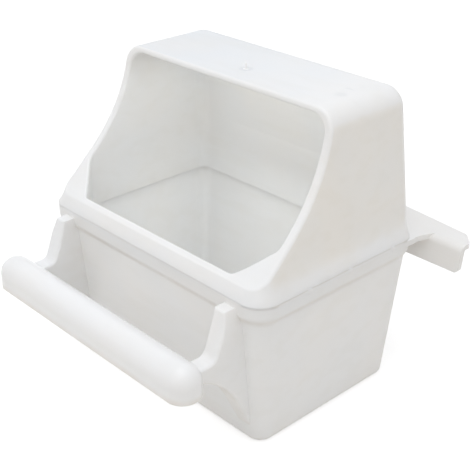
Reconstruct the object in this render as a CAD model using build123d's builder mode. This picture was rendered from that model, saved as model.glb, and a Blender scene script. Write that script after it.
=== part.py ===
"""Splash-proof bird feeder: seed tub, lift-off splash hood and perch bar.

Millimetres, +Z up. The origin is the middle of the tub's flat bottom.
The open front, with the perch, faces -Y. The hanger rail is at the back, +Y.
"""

import os
from math import sqrt

from build123d import *

# gaps between separate pieces
SEAT_GAP = 0.1
SPIGOT_GAP = 0.3
TONGUE_GAP = 0.3

# tub, with walls that lean out from the bottom to the collar
TUB_H = 59.6
TUB_WALL = 2.4
TUB_FLOOR = 2.4
BOTTOM_W = 109.2
BOTTOM_D = 70.6
BOTTOM_R = 6.0
BOTTOM_EDGE_R = 2.4

# collar round the tub's rim, and the socket inside it that takes the hood
COLLAR_W = 120.0
COLLAR_D = 83.4
COLLAR_R = 9.0
COLLAR_H = 6.9
COLLAR_STEP = 1.45
COLLAR_SLOPE = 2.6
COLLAR_EDGE_R = 0.4
COLLAR_UNDER_R = 3.0
SOCKET_DEPTH = 5.0
SOCKET_WALL = 2.2

# hood above its lip: a flare up to the waist, then sides and back that lean in
HOOD_H = 58.6
FLARE_H = 10.0
FLARE_OUT = 3.4
FLARE_OUT_BACK = 1.5
LIP_T = 0.8
SIDE_LEAN = 2.05
BACK_LEAN = 5.3
WAIST_CORNER_CLEAR = 0.25
SHOULDER_R = 8.0
HOOD_BACK_R = 4.8
HOOD_WALL = 3.4
HOOD_ROOF = 2.4
SPIGOT_FRONT_WALL = 2.7
INNER_SHOULDER_R = 7.0
CORNER_ACROSS = 12.0
CORNER_BACK = 11.0
CORNER_EASE_R = 3.0
CAVITY_BACK_R = 4.0
UPRIGHT_CLEAR = 0.5

# open front of the hood: where its edge starts on the roof and meets the front bar
MOUTH_TOP_Y = -3.4
BAR_H = 6.9
RIM_OUTER_R = 1.2
RIM_INNER_R = 0.8
# side view as (share of the reach forward, share of the height), run on past both ends
MOUTH_SHAPE = [(0, 1.02), (0.04, 0.85), (0.17, 0.61), (0.42, 0.36), (0.80, 0.11), (1, 0), (1.26, -0.064)]

# brackets at the tub's front corners; outward sizes are from the collar's front face
BRACKET_INSET = 9.6
BRACKET_W = 7.0
BRACKET_EDGE_R = 0.9
RIB_DROP = 1.7
RIB_TOP_IN = 1.8
RIB_TAPER_H = 10.0
RIB_OUT = 4.8
RIB_FOOT_OUT = 10.6
RIB_BOW = 0.3
RIB_FOOT_R = 3.0
ARM_DROP = 17.9
ARM_T = 5.0
ARM_ROOT_Z = 4.0
# underside, from the bar to the tub's wall, as (share of the way back, share of the way down)
UNDER_SHAPE = [(0.25, 0.08), (0.595, 0.355), (0.775, 0.63)]

# perch bar, a hollow bar open below
PERCH_OUT = 23.9
PERCH_R = 6.5
PERCH_RISE = 1.1
PERCH_OVERHANG = 5.2
PERCH_SKIRT = 5.5
PERCH_WALL = 2.2

# hanger rail behind the tub: a level plate with a web hanging from its front edge
RAIL_L = 153.0
RAIL_T = 2.2
RAIL_SLOT = 4.3
RAIL_DEPTH = 13.2
RAIL_TAPER_IN = 3.2
RAIL_STRAIGHT = 80.0
RAIL_END_CUT = 5.0
RAIL_END_R = 3.0
RAIL_BEND_R = 2.8
WEB_H = 11.6
WEB_DRAFT = 1.0
WEB_CORNER_R = 2.0

os.makedirs("parts", exist_ok=True)


def between(low, high, share):
    """Value that lies at a share of the way from low to high."""
    return low + (high - low) * share


def follow(line, value):
    """Second coordinate of a line of points that runs down, where the first one has the value."""
    for (first, second), (next_first, next_second) in zip(line, line[1:]):
        if next_first <= value <= first:
            return between(second, next_second, (value - first) / (next_first - first))


def rounded(width, depth, radius, z):
    """Rounded rectangle at height z."""
    with BuildSketch(Plane.XY.offset(z)) as outline:
        RectangleRounded(width, depth, radius)
    return outline.sketch


# places that the tub, brackets, rail and hood share
front_y = -COLLAR_D / 2
back_y = COLLAR_D / 2
crease_z = TUB_H - COLLAR_H
collar_low = crease_z + COLLAR_SLOPE
seat_z = TUB_H - SOCKET_DEPTH
crease_w = COLLAR_W - 2 * COLLAR_STEP
crease_d = COLLAR_D - 2 * COLLAR_STEP
crease_r = COLLAR_R - COLLAR_STEP
socket_w = COLLAR_W - 2 * SOCKET_WALL
socket_d = COLLAR_D - 2 * SOCKET_WALL
socket_r = COLLAR_R - SOCKET_WALL

# places of the bracket arms and the perch bar
bracket_out = COLLAR_W / 2 - BRACKET_INSET
bracket_in = bracket_out - BRACKET_W
arm_top = TUB_H - ARM_DROP
rib_top_z = TUB_H - RIB_DROP
perch_y = front_y - PERCH_OUT
perch_z = arm_top - PERCH_RISE
perch_l = 2 * (bracket_out + PERCH_OVERHANG)
bore_r = PERCH_R - PERCH_WALL
tongue_reach = sqrt(bore_r**2 - PERCH_RISE**2) - TONGUE_GAP


def seed_space(z, radius):
    """Section of the space inside the tub's walls at height z."""
    share = z / crease_z
    width = between(BOTTOM_W, crease_w, share) - 2 * TUB_WALL
    depth = between(BOTTOM_D, crease_d, share) - 2 * TUB_WALL
    return rounded(width, depth, radius, z)


with BuildPart() as bracket:
    # leaning rib, level arm that ends as the tongue, and a swept underside
    rib_top = (front_y - RIB_OUT, rib_top_z)
    rib_foot = (front_y - RIB_FOOT_OUT, arm_top)
    rib_middle = ((rib_top[0] + rib_foot[0]) / 2 + RIB_BOW, (rib_top[1] + rib_foot[1]) / 2)
    tip_y = perch_y - tongue_reach
    under_start = (perch_y + bore_r, arm_top - ARM_T)
    under_end = (-BOTTOM_D / 2 + TUB_WALL / 2, ARM_ROOT_Z)
    under = [
        (between(under_start[0], under_end[0], back), between(under_start[1], under_end[1], down))
        for back, down in UNDER_SHAPE
    ]
    with BuildSketch(Plane.YZ.offset(bracket_in)) as profile:
        with BuildLine():
            ThreePointArc(rib_top, rib_middle, rib_foot)
            Polyline(rib_foot, (tip_y, arm_top), (tip_y, under_start[1]), under_start)
            Spline(under_start, *under, under_end)
            Polyline(under_end, (under_end[0], rib_top_z), rib_top)
        make_face()
        fillet(profile.vertices().sort_by_distance(rib_foot)[0], RIB_FOOT_R)
    extrude(amount=BRACKET_W)

    # seen from the front, the outer side bows in towards the rib's top
    with BuildSketch(Plane.XZ.offset(-under_end[0])):
        with BuildLine():
            bow_start = (bracket_out, rib_top_z - RIB_TAPER_H)
            bow_end = (bracket_out - RIB_TOP_IN, rib_top_z)
            TangentArc(bow_start, bow_end, tangent=(0, 1))
            Polyline(bow_end, (bracket_in, rib_top_z), (bracket_in, 0), (bracket_out, 0), bow_start)
        make_face()
    extrude(amount=under_end[0] - tip_y, mode=Mode.INTERSECT)
    free_edges = bracket.edges().filter_by(lambda edge: min((edge @ 0).Y, (edge @ 1).Y) < front_y)
    across = free_edges.filter_by(Axis.X).sort_by(Axis.Z)
    along = (free_edges - across).sort_by(Axis.Z)
    fillet(along[:-2] + across[-1:], BRACKET_EDGE_R)

with BuildPart() as rail:
    web_y = back_y + RAIL_SLOT
    plate_back = web_y + RAIL_DEPTH
    plate_low = TUB_H - RAIL_T
    web_low = TUB_H - WEB_H

    # bent section: web hanging from the front edge of the plate
    with BuildSketch(Plane.YZ.offset(-RAIL_L / 2)) as bend:
        with BuildLine():
            Polyline(
                (web_y, web_low),
                (web_y, TUB_H),
                (plate_back, TUB_H),
                (plate_back, plate_low),
                (web_y + RAIL_T, plate_low),
                (web_y + RAIL_T, web_low),
                close=True,
            )
        make_face()
        fillet(bend.vertices().sort_by_distance((web_y, TUB_H))[0], RAIL_BEND_R)
    extrude(amount=RAIL_L)

    # ends seen from above, drawn in towards the back and rounded
    end_y = plate_back - RAIL_TAPER_IN
    with BuildSketch(Plane.XY.offset(web_low)) as plan:
        with BuildLine():
            half = Polyline(
                (0, web_y),
                (RAIL_L / 2, web_y),
                (RAIL_L / 2, end_y - RAIL_END_CUT),
                (RAIL_L / 2 - RAIL_END_CUT, end_y),
                (RAIL_STRAIGHT / 2, plate_back),
                (0, plate_back),
            )
            mirror(half, about=Plane.YZ)
        make_face()
        rows = plan.vertices().group_by(Axis.Y)
        fillet(rows[1] + rows[2], RAIL_END_R)
    extrude(amount=WEB_H, mode=Mode.INTERSECT)

    # ends seen from the front, leaning in to rounded lower corners
    with BuildSketch(Plane.XZ.offset(-web_y)) as front_view:
        with BuildLine():
            top = (RAIL_L / 2, TUB_H)
            low = (RAIL_L / 2 - WEB_DRAFT, web_low)
            Polyline((-top[0], top[1]), top, low, (-low[0], low[1]), close=True)
        make_face()
        fillet(front_view.vertices().group_by(Axis.Y)[0], WEB_CORNER_R)
    extrude(amount=-RAIL_DEPTH, mode=Mode.INTERSECT)

    # the plate runs forward over the slot to the collar
    with BuildSketch(Plane.XY.offset(plate_low)):
        with BuildLine():
            root = (COLLAR_W / 2, back_y - COLLAR_R)
            shoulder = (COLLAR_W / 2 + RAIL_BEND_R, web_y + RAIL_BEND_R)
            Polyline((-root[0], root[1]), root, (COLLAR_W / 2, back_y), shoulder)
            Polyline(shoulder, (-shoulder[0], shoulder[1]), (-COLLAR_W / 2, back_y), (-root[0], root[1]))
        make_face()
    extrude(amount=RAIL_T)

with BuildPart() as seed_tub:
    crease = rounded(crease_w, crease_d, crease_r, crease_z)
    collar = rounded(COLLAR_W, COLLAR_D, COLLAR_R, collar_low)
    loft([rounded(BOTTOM_W, BOTTOM_D, BOTTOM_R, 0), crease], ruled=True)
    fillet(seed_tub.faces().sort_by(Axis.Z)[0].edges(), BOTTOM_EDGE_R)

    # collar with a sloping underside that runs softly into the wall and the collar's side
    loft([crease, collar], ruled=True)
    extrude(collar, amount=TUB_H - collar_low)
    level_edges = seed_tub.edges().filter_by(Plane.XY)
    rings = level_edges.filter_by_position(Axis.Z, crease_z - COLLAR_STEP, collar_low + COLLAR_STEP)
    fillet(rings, COLLAR_UNDER_R)
    fillet(seed_tub.faces().sort_by(Axis.Z)[-1].edges(), COLLAR_EDGE_R)

    add(bracket.part)
    mirror(bracket.part, about=Plane.YZ)
    add(rail.part)

    # seed space, and above its step the wider socket for the hood's spigot
    low_section = seed_space(TUB_FLOOR, BOTTOM_R - TUB_WALL)
    loft([low_section, seed_space(seat_z, crease_r - TUB_WALL)], ruled=True, mode=Mode.SUBTRACT)
    extrude(rounded(socket_w, socket_d, socket_r, seat_z), amount=SOCKET_DEPTH, mode=Mode.SUBTRACT)

# heights and sizes of the hood
lip_z = TUB_H + SEAT_GAP
flare_low = lip_z + LIP_T
waist_z = flare_low + FLARE_H
hood_top = lip_z + HOOD_H
waist_w = COLLAR_W - 2 * FLARE_OUT
waist_front = front_y + FLARE_OUT
waist_back = back_y - FLARE_OUT_BACK
spigot_low = seat_z + SEAT_GAP
spigot_w = socket_w - 2 * SPIGOT_GAP
spigot_d = socket_d - 2 * SPIGOT_GAP
cavity_front = -spigot_d / 2 + SPIGOT_FRONT_WALL
bar_z = lip_z + BAR_H

# one flowing line from the roof down to the front bar, seen from the side
mouth = [
    (between(MOUTH_TOP_Y, cavity_front, reach), between(bar_z, hood_top, height))
    for reach, height in MOUTH_SHAPE
]

# the waist's front corners end just in front of that line
mouth_at_waist = follow([(z, y) for y, z in mouth], waist_z)
waist_front_r = mouth_at_waist - waist_front - WAIST_CORNER_CLEAR

# the flare's arc is upright at the waist and leans out most at the lip
flare_r = (FLARE_H**2 + FLARE_OUT**2) / (2 * FLARE_OUT)

# the cavity is upright up to where the line has passed its slanted front corners
split_z = follow(mouth, cavity_front + CORNER_BACK + CORNER_EASE_R) + UPRIGHT_CLEAR


def lean(z):
    """Share of the lean reached at height z: 0 at the waist, 1 at the roof."""
    return (z - waist_z) / (hood_top - waist_z)


def hood_w(z):
    """Outer width between the hood's leaning sides at height z."""
    return waist_w - 2 * SIDE_LEAN * lean(z)


def leaning_block(z_low, z_high, inset, front, shoulder_r, back_r):
    """Block within the hood's leaning sides and back, moved in from them by inset."""
    with BuildPart() as block:
        with BuildSketch(Plane.XZ.offset(-back_y)) as front_view:
            with BuildLine():
                low_x = hood_w(z_low) / 2 - inset
                high_x = hood_w(z_high) / 2 - inset
                Polyline((-low_x, z_low), (low_x, z_low), (high_x, z_high), (-high_x, z_high), close=True)
            make_face()
            fillet(front_view.vertices().group_by(Axis.Y)[-1], shoulder_r)
        extrude(amount=back_y - front)
        lean_normal = (0, hood_top - waist_z, BACK_LEAN)
        split(bisect_by=Plane(origin=(0, waist_back - inset, waist_z), z_dir=lean_normal), keep=Keep.BOTTOM)
        fillet(block.faces().sort_by(Axis.Y)[-1].edges().sort_by(Axis.Z)[1:], back_r)
    return block.part


def section(width, front, back, back_r, z):
    """Rectangle at height z with rounded back corners."""
    with BuildSketch(Plane.XY.offset(z)) as outline:
        with Locations((0, (front + back) / 2)):
            Rectangle(width, back - front)
        fillet(outline.vertices().group_by(Axis.Y)[-1], back_r)
    return outline.sketch.face()


def round_front(face, radius):
    """Face with its two front corners rounded."""
    return face.fillet_2d(radius, face.vertices().group_by(Axis.Y)[0])


def slant_front(face):
    """Face with its two front corners cut at a slant that has eased ends."""
    front_edge = face.edges().sort_by(Axis.Y)[0]
    slanted = face.chamfer_2d(CORNER_ACROSS, CORNER_BACK, front_edge.vertices(), front_edge)
    rows = slanted.vertices().group_by(Axis.Y)
    return slanted.fillet_2d(CORNER_EASE_R, rows[0] + rows[1])


def flare_section(z):
    """Outline of the flare at height z."""
    share = (flare_r - sqrt(flare_r**2 - (waist_z - z) ** 2)) / FLARE_OUT
    outline = section(
        between(waist_w, COLLAR_W, share),
        between(waist_front, front_y, share),
        between(waist_back, back_y, share),
        between(HOOD_BACK_R, COLLAR_R, share),
        z,
    )
    return round_front(outline, between(waist_front_r, COLLAR_R, share))


cavity_back = waist_back - BACK_LEAN * lean(split_z) - HOOD_WALL


def front_rim():
    """Face that the front cut leaves all round the opening."""
    return splash_hood.faces().filter_by(GeomType.EXTRUSION).sort_by(SortBy.AREA)[-1]


# hollow of the hood, upright below and leaning with the walls above
with BuildPart() as cavity:
    roof_z = hood_top - HOOD_ROOF
    add(leaning_block(split_z, roof_z, HOOD_WALL, cavity_front, INNER_SHOULDER_R, CAVITY_BACK_R))
    low_w = hood_w(spigot_low) - 2 * HOOD_WALL
    low_section = section(low_w, cavity_front, cavity_back, CAVITY_BACK_R, spigot_low)
    high_section = cavity.faces().sort_by(Axis.Z)[0]
    loft([slant_front(high_section), slant_front(low_section)], ruled=True)

with BuildPart() as splash_hood:
    add(leaning_block(waist_z, hood_top, 0, waist_front, SHOULDER_R, HOOD_BACK_R))
    waist = splash_hood.faces().sort_by(Axis.Z)[0]
    flare = [flare_section(waist_z - FLARE_H * step / 3) for step in (1, 2, 3)]
    loft([round_front(waist, waist_front_r), *flare])
    extrude(rounded(COLLAR_W, COLLAR_D, COLLAR_R, lip_z), amount=LIP_T)
    extrude(rounded(spigot_w, spigot_d, socket_r - SPIGOT_GAP, spigot_low), amount=lip_z - spigot_low)
    add(cavity.part, mode=Mode.SUBTRACT)

    # open front
    above = hood_top + HOOD_ROOF
    with BuildSketch(Plane.YZ.offset(-COLLAR_W / 2)):
        with BuildLine():
            Spline(*mouth)
            Polyline(
                mouth[-1],
                (-COLLAR_D, mouth[-1][1]),
                (-COLLAR_D, above),
                (mouth[0][0], above),
                mouth[0],
            )
        make_face()
    extrude(amount=COLLAR_W, mode=Mode.SUBTRACT)
    fillet(front_rim().outer_wire().edges(), RIM_OUTER_R)
    fillet(front_rim().inner_wires()[0].edges(), RIM_INNER_R)


def bar(length, radius):
    """Round-topped bar along X with domed ends and a straight skirt below its axis."""
    with BuildPart() as solid:
        with BuildSketch(Plane.XY):
            SlotOverall(length, 2 * radius)
        extrude(amount=-PERCH_SKIRT)
        with BuildSketch(Plane.XY):
            SlotOverall(length, 2 * radius)
            split(bisect_by=Plane.XZ, keep=Keep.BOTTOM)
        revolve(axis=Axis.X, revolution_arc=180)
    return solid.part


with BuildPart() as perch_bar:
    with Locations((0, perch_y, perch_z)):
        add(bar(perch_l, PERCH_R))
        add(bar(perch_l - 2 * PERCH_WALL, bore_r), mode=Mode.SUBTRACT)

    # notches in the rear skirt for the two arms
    notch_h = PERCH_RISE + TONGUE_GAP + PERCH_SKIRT
    notch_z = arm_top + TONGUE_GAP - notch_h / 2
    with BuildSketch(Plane.XZ.offset(-perch_y)):
        with Locations((bracket_in + BRACKET_W / 2, notch_z), (-bracket_in - BRACKET_W / 2, notch_z)):
            Rectangle(BRACKET_W + 2 * TONGUE_GAP, notch_h)
    extrude(amount=-PERCH_R, mode=Mode.SUBTRACT)

for name, piece in (("seed_tub", seed_tub), ("splash_hood", splash_hood), ("perch_bar", perch_bar)):
    piece.part.label = name
    export_step(piece.part, f"parts/{name}.step")
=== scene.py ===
"""Looks of the splash-proof bird feeder: moulded white plastic under soft studio light."""

from math import copysign, cos, sin, tau
from random import Random

import bpy
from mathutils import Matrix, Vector

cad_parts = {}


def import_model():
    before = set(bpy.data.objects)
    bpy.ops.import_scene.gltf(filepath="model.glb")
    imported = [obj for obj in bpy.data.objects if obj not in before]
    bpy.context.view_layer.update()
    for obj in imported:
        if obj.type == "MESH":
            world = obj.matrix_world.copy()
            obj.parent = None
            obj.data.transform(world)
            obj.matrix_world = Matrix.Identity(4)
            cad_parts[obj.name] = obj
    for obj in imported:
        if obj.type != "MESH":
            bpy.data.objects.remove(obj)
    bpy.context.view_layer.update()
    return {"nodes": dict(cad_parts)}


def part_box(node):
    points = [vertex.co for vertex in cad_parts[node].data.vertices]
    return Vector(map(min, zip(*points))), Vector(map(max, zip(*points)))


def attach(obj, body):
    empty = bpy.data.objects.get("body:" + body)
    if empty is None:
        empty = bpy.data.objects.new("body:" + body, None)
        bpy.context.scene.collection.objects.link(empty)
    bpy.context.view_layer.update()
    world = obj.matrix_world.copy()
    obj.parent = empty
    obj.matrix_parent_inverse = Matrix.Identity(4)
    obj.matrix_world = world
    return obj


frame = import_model()

MM = 0.001
TUB_TOP_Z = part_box("seed_tub")[1][2]
HOOD_LOW, HOOD_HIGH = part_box("splash_hood")
PERCH_LOW_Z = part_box("perch_bar")[0][2]
ROOF_Z = HOOD_HIGH[2]

# sockets of a colour mix node
MIX_A, MIX_B, MIX_RESULT = 6, 7, 2

# camera: place and direction solved from the photograph's straight edges, angles in radians
CAMERA_AT = (253.2 * MM, -233.6 * MM, 229.2 * MM)
CAMERA_AZIMUTH = 0.81766
CAMERA_ELEVATION = 0.47470
LENS_MM = 75.9
SENSOR_MM = 36.0
CLIP_START = 10.0 * MM

# plastic, as it looks under plain white light
WHITE = (0.92, 0.919, 0.914)
PERCH_WHITE = (0.96, 0.96, 0.96)
# the gate stub: plastic whitened where the gate was snapped, partly a painted glint
STUB_WHITE_AND_GLINT = (0.98, 0.98, 0.98)
COOL_SIDE = (0.989, 0.994, 1.0)
WARM_SIDE = (1.0, 0.986, 0.970)
ROUGHNESS = (0.30, 0.44)
PERCH_ROUGHNESS = (0.30, 0.36)
PERCH_COAT = 0.4
PERCH_COAT_ROUGHNESS = 0.16
IOR = 1.49
SPECULAR = 0.45
SEED_SHARES = (1.0, 0.7, 0.3)

# translucency: less of it in the collar, where hood and collar stand double
GLOW_WEIGHT = 0.6
GLOW_DEPTH = 3.0 * MM
GLOW_COLOUR = (1.0, 0.99, 0.97)
COLLAR_GLOW_WEIGHT = 0.2
COLLAR_Z = 53.0 * MM
COLLAR_BLEND = 1.5 * MM

# unevenness of the moulding: each noise is cycles per metre and detail, each band two noise values
CLOUD_NOISE, CLOUD_BAND = (30.0, 4.0), (0.34, 0.66)
FLOW_NOISE, FLOW_BAND = (120.0, 3.0), (0.36, 0.52)
FLOW_STRETCH = (0.25, 1.0, 1.6)
FLOW_MARK = (0.988, 0.986, 0.98)
# noise that breaks up the painted shade
SHADE_NOISE = (160.0, 3.0)
GLOSS_NOISE, GLOSS_BAND = (60.0, 3.0), (0.3, 0.7)
WAVE_NOISE, WAVE_STRENGTH, WAVE_HEIGHT = (45.0, 2.0), 0.25, 0.3 * MM
GRAIN_NOISE, GRAIN_STRENGTH, GRAIN_HEIGHT = (1500.0, 2.0), 0.12, 0.06 * MM

# painted shade: a faint brown on the undersides and along the perch's lower edge, standing in for their shade
# and the warm floor bounce
UNDERSIDE_SHADE = (0.84, 0.78, 0.71)
UNDERSIDE_SHADE_FACING = (-0.8, -0.1)
PERCH_EDGE_SHADE = (0.82, 0.77, 0.70)
PERCH_EDGE_SHADE_H = 3.0 * MM

# vestige of the injection gate on the hood's roof; the profile is (radius, height) in mm
GATE_AT = (2.0 * MM, 7.4 * MM)
GATE_PROFILE = ((1.3, -0.05), (1.0, 0.02), (0.75, 0.06), (0.55, 0.14), (0.44, 0.7), (0.40, 1.5), (0.28, 2.1),
                (0.12, 2.25))
GATE_TIP = 0.03
GATE_STEPS = 32
# painted shade round the gate: its reach, the share of it at full strength, and its grey
GATE_SHADE_R = 3.2 * MM
GATE_SHADE_CORE = 0.6
GATE_RING_SHADE = (0.84, 0.85, 0.87)

# scuffs near the right end of the roof
SCUFF_PLACES = ((43.0 * MM, 16.6 * MM), (44.4 * MM, 11.2 * MM))
SCUFF_R = 3.4 * MM
SCUFF_CORE = 0.35
SCUFF_STRETCH = (0.4, 1.0, 1.0)
SCUFF_NOISE, SCUFF_BAND = (420.0, 2.0), (0.40, 0.60)
SCUFF = (0.94, 0.945, 0.95)

# hood: dust on its roof with a painted cool cast of the overhead light, most of it at the left, and painted
# shade, a brown cast, outside on its sides
ROOF_DUST_AND_COOL_LIGHT = (0.90, 0.92, 0.945)
DUST_AND_LIGHT_X = (-45.0 * MM, 75.0 * MM)
DUST_AND_LIGHT_H = 2.0 * MM
DUST_AND_LIGHT_FACING = (0.99, 0.9)
SIDE_PAINTED_SHADE = (0.985, 0.970, 0.945)
SIDE_SHADE_X = (54.3 * MM, 53.5 * MM)
SIDE_SHADE_FACING = (0.99, 0.9)

# moulding flash: a fine upright bead along the hood's lower edge, thicker at a few burrs
SEAM_Z = TUB_TOP_Z + 0.08 * MM
SEAM_CORNER_R = 9.0 * MM
SEAM_CORNER_STEPS = 8
SEAM_DEPTH = 0.30 * MM
FLASH_R = 0.37 * MM
FLASH_WOBBLE = (0.97, 1.03)
FLASH_TALL = 2.6
FLASH_STEP = 0.8 * MM
FLASH_SIDES = 8
FLASH_SEED = 7
BURR_PLACES = ((60.0, -17.8), (60.0, 2.6), (60.0, 26.3), (-60.0, -8.0), (-60.0, 19.0), (22.0, 41.7))
BURR_REACH = 1.1 * MM
BURR_EXTRA = 0.16 * MM

# studio: floor and surroundings
FLOOR_HALF = 3.0
FLOOR_Z = -0.05 * MM
FLOOR_ROUGHNESS = 0.9
FLOOR_SPECULAR = 0.1
FLOOR_BOUNCE = (0.71, 0.687, 0.652)
FLOOR_GLOW = (0.535, 0.549, 0.57)
WORLD_LEVEL = 0.695
SKY_BAND = (0.15, 0.8)
HORIZON = (1.0, 0.977, 0.942)
ZENITH = (0.935, 0.958, 1.0)

# studio: lamp colours, and the point that the two large lamps face
FEEDER_MIDDLE = (0, 0, 0.06)
COOL_LIGHT = (0.94, 0.962, 1.0)
WARM_LIGHT = (1.0, 0.955, 0.88)
INNER_LIGHT = (0.96, 1.0, 0.985)


def node_adder(tree):
    """Function that adds a node to the tree, with its inputs linked or set."""

    def node(kind, inputs=None, **settings):
        new = tree.nodes.new(kind)
        for key, value in settings.items():
            setattr(new, key, value)
        for key, value in (inputs or {}).items():
            if isinstance(value, bpy.types.NodeSocket):
                tree.links.new(value, new.inputs[key])
            else:
                new.inputs[key].default_value = value
        return new

    return node


def shader_graph(name):
    """New node material with its tree, its Principled shader and the function that adds nodes."""
    material = bpy.data.materials.new(name)
    material.use_nodes = True
    tree = material.node_tree
    return material, tree, tree.nodes["Principled BSDF"], node_adder(tree)


def tinted(node, colour, amount, tint):
    """The colour multiplied by a tint as far as the amount says."""
    inputs = {"Factor": amount, MIX_A: colour, MIX_B: (*tint, 1)}
    return node("ShaderNodeMix", inputs, data_type="RGBA", blend_type="MULTIPLY").outputs[MIX_RESULT]


def fade(node, value, start, end):
    """Smooth 1 to 0 as the value goes from start to end."""
    inputs = {"Value": value, "From Min": start, "From Max": end, "To Min": 1.0, "To Max": 0.0}
    return node("ShaderNodeMapRange", inputs, interpolation_type="SMOOTHSTEP").outputs["Result"]


def noise(node, place, scale, detail):
    """Noise value at a place, scale in cycles per metre."""
    return node("ShaderNodeTexNoise", {"Vector": place, "Scale": scale, "Detail": detail}).outputs["Fac"]


def product(node, first, second):
    """Two values multiplied."""
    return node("ShaderNodeMath", {0: first, 1: second}, operation="MULTIPLY").outputs[0]


def part_of(node, vector, axis):
    """The X, Y or Z of a vector."""
    return node("ShaderNodeSeparateXYZ", {0: vector}).outputs[axis]


def absolute(node, value):
    """The value without its sign."""
    return node("ShaderNodeMath", {0: value}, operation="ABSOLUTE").outputs[0]


def stretched(node, place, scale):
    """The place scaled along X, Y and Z."""
    return node("ShaderNodeMapping", {"Vector": place, "Scale": scale}).outputs[0]


def facing_of(node, axis):
    """How far the surface faces along X, Y or Z, from -1 to 1."""
    return part_of(node, node("ShaderNodeNewGeometry").outputs["Normal"], axis)


def near(node, place, spot, radius, core):
    """Smooth 1 to 0 from a share of the radius round a spot out to the radius."""
    reach = node("ShaderNodeVectorMath", {0: place, 1: spot}, operation="DISTANCE").outputs["Value"]
    return fade(node, reach, radius * core, radius)


def clouding(node, moved, tone):
    """Clouds in the resin: a slight drift between a warm and a cool white."""
    clouds = node("ShaderNodeValToRGB", {"Fac": noise(node, moved, *CLOUD_NOISE)})
    for element, position, cast in zip(clouds.color_ramp.elements, CLOUD_BAND, (WARM_SIDE, COOL_SIDE)):
        element.position = position
        element.color = (*(t * c for t, c in zip(tone, cast)), 1)
    return clouds.outputs["Color"]


def flow_marks(node, moved, colour):
    """Long faint streaks along the width."""
    streaks = fade(node, noise(node, stretched(node, moved, FLOW_STRETCH), *FLOW_NOISE), *FLOW_BAND)
    return tinted(node, colour, streaks, FLOW_MARK)


def uneven_gloss(node, moved, roughness):
    """Roughness in patches, between two values."""
    inputs = {"Value": noise(node, moved, *GLOSS_NOISE), "From Min": GLOSS_BAND[0], "From Max": GLOSS_BAND[1]}
    inputs.update({"To Min": roughness[0], "To Max": roughness[1]})
    return node("ShaderNodeMapRange", inputs).outputs["Result"]


def moulded_skin(node, moved):
    """Slow waviness of the walls and a fine grain."""
    waves = {"Height": noise(node, moved, *WAVE_NOISE), "Strength": WAVE_STRENGTH, "Distance": WAVE_HEIGHT}
    grain = {"Height": noise(node, moved, *GRAIN_NOISE), "Strength": GRAIN_STRENGTH, "Distance": GRAIN_HEIGHT}
    grain["Normal"] = node("ShaderNodeBump", waves).outputs["Normal"]
    return node("ShaderNodeBump", grain).outputs["Normal"]


def plastic(name, tone, roughness, seed, soiling_and_shade=None, glow=GLOW_WEIGHT, glow_map=None):
    """Satin, slightly translucent moulded plastic with clouding, flow marks, skin, and soiling with painted
    shade.
    """
    material, tree, shader, node = shader_graph(name)
    place = node("ShaderNodeTexCoord").outputs["Object"]
    shift = [seed * share for share in SEED_SHARES]
    moved = node("ShaderNodeVectorMath", {0: place, 1: shift}, operation="ADD").outputs[0]
    colour = flow_marks(node, moved, clouding(node, moved, tone))
    # the soiling function adds real marks and painted shade
    if soiling_and_shade:
        colour = soiling_and_shade(node, place, colour, noise(node, moved, *SHADE_NOISE))
    tree.links.new(colour, shader.inputs["Base Color"])
    tree.links.new(uneven_gloss(node, moved, roughness), shader.inputs["Roughness"])
    tree.links.new(moulded_skin(node, moved), shader.inputs["Normal"])
    shader.inputs["IOR"].default_value = IOR
    shader.inputs["Specular IOR Level"].default_value = SPECULAR
    shader.inputs["Subsurface Weight"].default_value = glow
    if glow_map:
        tree.links.new(glow_map(node, place), shader.inputs["Subsurface Weight"])
    shader.inputs["Subsurface Radius"].default_value = GLOW_COLOUR
    shader.inputs["Subsurface Scale"].default_value = GLOW_DEPTH
    return material


def coated(material):
    """The material with the perch's smooth gloss over it."""
    shader = material.node_tree.nodes["Principled BSDF"]
    shader.inputs["Coat Weight"].default_value = PERCH_COAT
    shader.inputs["Coat Roughness"].default_value = PERCH_COAT_ROUGHNESS
    return material


def collar_glow(node, place):
    """Translucency of the tub, lower in the collar than in the walls."""
    below = fade(node, part_of(node, place, "Z"), COLLAR_Z - COLLAR_BLEND, COLLAR_Z + COLLAR_BLEND)
    inputs = {"Value": below, "To Min": COLLAR_GLOW_WEIGHT, "To Max": GLOW_WEIGHT}
    return node("ShaderNodeMapRange", inputs).outputs["Result"]


def tub_underside_shade(node, place, colour, uneven):
    """Painted shade: a faint brown on the surfaces that face down, such as the slope under the collar,
    standing in for their shade and the warm bounce from the floor.
    """
    down = fade(node, facing_of(node, "Z"), *UNDERSIDE_SHADE_FACING)
    return tinted(node, colour, product(node, down, uneven), UNDERSIDE_SHADE)


def perch_edge_shade(node, place, colour, uneven):
    """Painted shade: darker and browner along the perch's lower edge, standing in for the shade and the warm
    floor bounce there.
    """
    band = fade(node, part_of(node, place, "Z"), PERCH_LOW_Z, PERCH_LOW_Z + PERCH_EDGE_SHADE_H)
    return tinted(node, colour, product(node, band, uneven), PERCH_EDGE_SHADE)


def side_painted_shade(node, place, colour):
    """Painted shade: a brown cast on the outside of the hood's upright sides, standing in for the warm side
    light and shade there.
    """
    upright = fade(node, absolute(node, facing_of(node, "X")), *SIDE_SHADE_FACING)
    outside = fade(node, absolute(node, part_of(node, place, "X")), *SIDE_SHADE_X)
    return tinted(node, colour, product(node, upright, outside), SIDE_PAINTED_SHADE)


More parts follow.
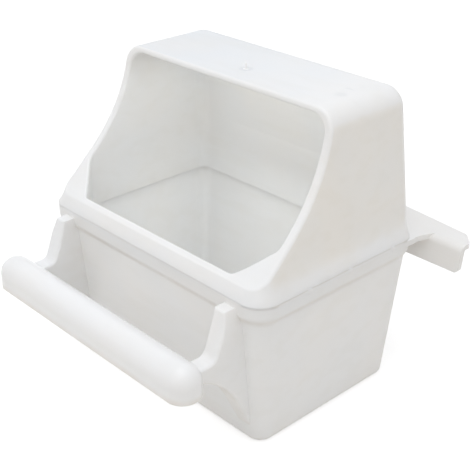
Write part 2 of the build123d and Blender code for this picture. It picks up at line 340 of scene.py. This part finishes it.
def roof_dust_and_cool_light(node, place, colour):
    """Dust on the level part of the hood's roof, less towards the right end, with a painted cool cast
    standing in for the cool overhead light.
    """
    level = fade(node, facing_of(node, "Z"), *DUST_AND_LIGHT_FACING)
    high = fade(node, part_of(node, place, "Z"), ROOF_Z, ROOF_Z - DUST_AND_LIGHT_H)
    leftward = fade(node, part_of(node, place, "X"), *DUST_AND_LIGHT_X)
    return tinted(node, colour, product(node, product(node, level, high), leftward), ROOF_DUST_AND_COOL_LIGHT)


def gate_painted_shade(node, place, colour, uneven):
    """Painted shade: a grey ring round the gate's vestige, standing in for the shadow of the dimple round the
    stub.
    """
    ring = near(node, place, (*GATE_AT, ROOF_Z), GATE_SHADE_R, GATE_SHADE_CORE)
    return tinted(node, colour, product(node, ring, uneven), GATE_RING_SHADE)


def scuffs(node, place, colour):
    """Small grey scuffs of short strokes along the width."""
    strokes = fade(node, noise(node, stretched(node, place, SCUFF_STRETCH), *SCUFF_NOISE), *SCUFF_BAND)
    for x, y in SCUFF_PLACES:
        patch = near(node, place, (x, y, ROOF_Z), SCUFF_R, SCUFF_CORE)
        colour = tinted(node, colour, product(node, patch, strokes), SCUFF)
    return colour


def hood_marks_and_shade(node, place, colour, uneven):
    """Everything painted on the hood: painted shade on its sides, roof dust with a painted cool cast, painted
    shade round the gate, and the scuffs.
    """
    colour = side_painted_shade(node, place, colour)
    colour = roof_dust_and_cool_light(node, place, colour)
    colour = gate_painted_shade(node, place, colour, uneven)
    return scuffs(node, place, colour)


def dress(node_name, material):
    """Gives a CAD node its material in every slot."""
    slots = frame["nodes"][node_name].data.materials
    if not slots:
        slots.append(material)
    for index in range(len(slots)):
        slots[index] = material


def piece(name, verts, faces, material, body):
    """Smooth mesh object that rides on a body."""
    mesh = bpy.data.meshes.new(name)
    mesh.from_pydata(verts, [], faces)
    mesh.materials.append(material)
    for polygon in mesh.polygons:
        polygon.use_smooth = True
    obj = bpy.data.objects.new(name, mesh)
    bpy.context.scene.collection.objects.link(obj)
    smooth = obj.modifiers.new("smooth", "SUBSURF")
    smooth.levels = smooth.render_levels = 1
    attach(obj, body)


def turned(rings, steps, tip_low, tip_high):
    """Closed body of revolution about an upright axis, from (centre, radius) rings between two tips."""
    verts = [tip_low]
    for centre, radius in rings:
        for step in range(steps):
            turn = tau * step / steps
            verts.append(centre + Vector((radius * cos(turn), radius * sin(turn), 0)))
    verts.append(tip_high)
    last = len(verts) - 1
    faces = []
    for step in range(steps):
        follow = (step + 1) % steps
        faces.append((0, 1 + follow, 1 + step))
        for ring in range(len(rings) - 1):
            low, high = 1 + ring * steps, 1 + (ring + 1) * steps
            faces.append((low + step, low + follow, high + follow, high + step))
        top = 1 + (len(rings) - 1) * steps
        faces.append((top + step, top + follow, last))
    return verts, faces


def gate_mark(material):
    """Vestige of the injection gate: a low foot and a short snapped stub on the roof."""

    def above_roof(z):
        return Vector((*GATE_AT, ROOF_Z + z * MM))

    rings = [(above_roof(z), r * MM) for r, z in GATE_PROFILE]
    low, high = above_roof(GATE_PROFILE[0][1]), above_roof(GATE_PROFILE[-1][1] + GATE_TIP)
    verts, faces = turned(rings, GATE_STEPS, low, high)
    piece("gate_mark", verts, faces, material, "hood")


def rounded_outline(low, high, radius, step):
    """Points and outward directions round a rectangle with rounded corners, seen from above."""
    corners = ((high[0], high[1]), (low[0], high[1]), (low[0], low[1]), (high[0], low[1]))
    centres = [Vector((x - copysign(radius, x), y - copysign(radius, y))) for x, y in corners]
    route = []
    for index, centre in enumerate(centres):
        for part in range(SEAM_CORNER_STEPS + 1):
            turn = (index + part / SEAM_CORNER_STEPS) * tau / 4
            out = Vector((cos(turn), sin(turn)))
            route.append((centre + out * radius, out))
        start, end = route[-1][0], centres[(index + 1) % 4] + out * radius
        count = round((end - start).length / step)
        route += [(start.lerp(end, k / count), out) for k in range(1, count)]
    return route


def seam_flash(material):
    """Fine bead of flash along the hood's lower edge, with a few small burrs."""
    rng = Random(FLASH_SEED)
    verts, faces = [], []
    route = rounded_outline(HOOD_LOW, HOOD_HIGH, SEAM_CORNER_R, FLASH_STEP)
    burrs = [Vector((x * MM, y * MM)) for x, y in BURR_PLACES]
    for point, out in route:
        reach = min((point - burr).length for burr in burrs)
        swell = BURR_EXTRA * max(0.0, 1 - reach / BURR_REACH)
        radius = FLASH_R * rng.uniform(*FLASH_WOBBLE) + swell
        centre = Vector((*(point - out * (SEAM_DEPTH - swell)), SEAM_Z))
        for side in range(FLASH_SIDES):
            turn = tau * side / FLASH_SIDES
            up = FLASH_TALL * radius * sin(turn)
            verts.append(centre + Vector((*out, 0)) * (radius * cos(turn)) + Vector((0, 0, up)))
    for ring in range(len(route)):
        for side in range(FLASH_SIDES):
            follow, after = (side + 1) % FLASH_SIDES, (ring + 1) % len(route)
            here, there = ring * FLASH_SIDES, after * FLASH_SIDES
            faces.append((here + side, there + side, there + follow, here + follow))
    piece("seam_flash", verts, faces, material, "hood")


def background_rays(node):
    """1 for the rays that show the background: from the camera, in a gloss or through glass."""
    rays = node("ShaderNodeLightPath").outputs
    shown = rays["Is Camera Ray"]
    for other in ("Is Glossy Ray", "Is Transmission Ray"):
        shown = node("ShaderNodeMath", {0: shown, 1: rays[other]}, operation="MAXIMUM").outputs[0]
    return shown


def camera():
    """Camera at the photograph's place."""
    data = bpy.data.cameras.new("photo_camera")
    data.lens = LENS_MM
    data.sensor_width = SENSOR_MM
    data.clip_start = CLIP_START
    obj = bpy.data.objects.new("photo_camera", data)
    flat = cos(CAMERA_ELEVATION)
    aim = Vector((-sin(CAMERA_AZIMUTH) * flat, cos(CAMERA_AZIMUTH) * flat, -sin(CAMERA_ELEVATION)))
    obj.location = CAMERA_AT
    obj.rotation_euler = aim.to_track_quat("-Z", "Y").to_euler()
    bpy.context.scene.collection.objects.link(obj)
    bpy.context.scene.camera = obj


def floor():
    """Wide pale floor that shows white as the background and still takes the soft shadow."""
    mesh = bpy.data.meshes.new("floor")
    signs = ((-1, -1), (1, -1), (1, 1), (-1, 1))
    mesh.from_pydata([(x * FLOOR_HALF, y * FLOOR_HALF, FLOOR_Z) for x, y in signs], [], [(0, 1, 2, 3)])
    obj = bpy.data.objects.new("floor", mesh)
    bpy.context.scene.collection.objects.link(obj)
    material, tree, shader, node = shader_graph("floor_white")
    shader.inputs["Base Color"].default_value = (*FLOOR_BOUNCE, 1)
    shader.inputs["Roughness"].default_value = FLOOR_ROUGHNESS
    shader.inputs["Specular IOR Level"].default_value = FLOOR_SPECULAR
    glow = node("ShaderNodeEmission", {"Color": (*FLOOR_GLOW, 1), "Strength": background_rays(node)})
    both = node("ShaderNodeAddShader", {0: shader.outputs[0], 1: glow.outputs[0]})
    tree.links.new(both.outputs[0], tree.nodes["Material Output"].inputs["Surface"])
    mesh.materials.append(material)


def world():
    """Even pale surroundings, cooler overhead, plain white where they are the background."""
    scene_world = bpy.data.worlds.new("studio")
    bpy.context.scene.world = scene_world
    scene_world.use_nodes = True
    tree = scene_world.node_tree
    node = node_adder(tree)
    upward = part_of(node, node("ShaderNodeTexCoord").outputs["Generated"], "Z")
    sky = node("ShaderNodeValToRGB", {"Fac": upward})
    for element, position, colour in zip(sky.color_ramp.elements, SKY_BAND, (HORIZON, ZENITH)):
        element.position = position
        element.color = (*colour, 1)
    white = (1 / WORLD_LEVEL, 1 / WORLD_LEVEL, 1 / WORLD_LEVEL, 1)
    inputs = {"Factor": background_rays(node), MIX_A: sky.outputs["Color"], MIX_B: white}
    seen = node("ShaderNodeMix", inputs, data_type="RGBA")
    background = tree.nodes["Background"]
    tree.links.new(seen.outputs[MIX_RESULT], background.inputs["Color"])
    background.inputs["Strength"].default_value = WORLD_LEVEL


def lamp(name, place, target, size, watts, colour, glint=1.0):
    """Rectangular soft lamp at a place, aimed at a target, itself unseen."""
    data = bpy.data.lights.new(name, "AREA")
    data.shape = "RECTANGLE"
    data.size, data.size_y = size
    data.energy = watts
    data.color = colour
    data.specular_factor = glint
    obj = bpy.data.objects.new(name, data)
    obj.location = place
    obj.rotation_euler = (Vector(target) - Vector(place)).to_track_quat("-Z", "Y").to_euler()
    obj.visible_camera = False
    bpy.context.scene.collection.objects.link(obj)


def large_lamps():
    """Soft key from above the front, and a weaker warm one from the right."""
    lamp("top_soft", (0.0, -0.25, 1.1), FEEDER_MIDDLE, size=(1.0, 1.0), watts=4.0, colour=COOL_LIGHT)
    lamp("side_soft", (0.8, -0.8, 0.6), FEEDER_MIDDLE, size=(0.8, 0.8), watts=0.7, colour=WARM_LIGHT)


def inner_lamps():
    """Faint fills inside the hood and the tub, which shine straight down."""
    lamp("hood_fill", (0.0, 0.010, 0.112), (0, 0.010, 0), size=(0.08, 0.04), watts=0.0070,
         colour=INNER_LIGHT, glint=0.0)
    lamp("tub_fill", (0.0, 0.004, 0.070), (0, 0.004, 0), size=(0.06, 0.02), watts=0.0056,
         colour=INNER_LIGHT, glint=0.0)


# tub: painted shade on the surfaces that face down
tub_plastic = plastic("tub_white", WHITE, ROUGHNESS, seed=0.0, soiling_and_shade=tub_underside_shade, glow_map=collar_glow)
# hood: dust and scuffs, with painted shade and a painted cool cast
hood_plastic = plastic("hood_white", WHITE, ROUGHNESS, seed=0.31, soiling_and_shade=hood_marks_and_shade)
# perch: painted shade along its lower edge
perch_plastic = coated(plastic("perch_white", PERCH_WHITE, PERCH_ROUGHNESS, seed=0.57, soiling_and_shade=perch_edge_shade))
flash_plastic = plastic("flash_white", WHITE, PERCH_ROUGHNESS, seed=0.83, glow=0.0)
# stub: whitened plastic, partly a painted glint
stub_plastic_and_glint = plastic("stub_white_and_glint", STUB_WHITE_AND_GLINT, PERCH_ROUGHNESS, seed=1.07, glow=0.0)
dress("seed_tub", tub_plastic)
dress("splash_hood", hood_plastic)
dress("perch_bar", perch_plastic)
gate_mark(stub_plastic_and_glint)
seam_flash(flash_plastic)

camera()
floor()
world()
large_lamps()
inner_lamps()

bpy.context.scene.view_settings.view_transform = "Standard"
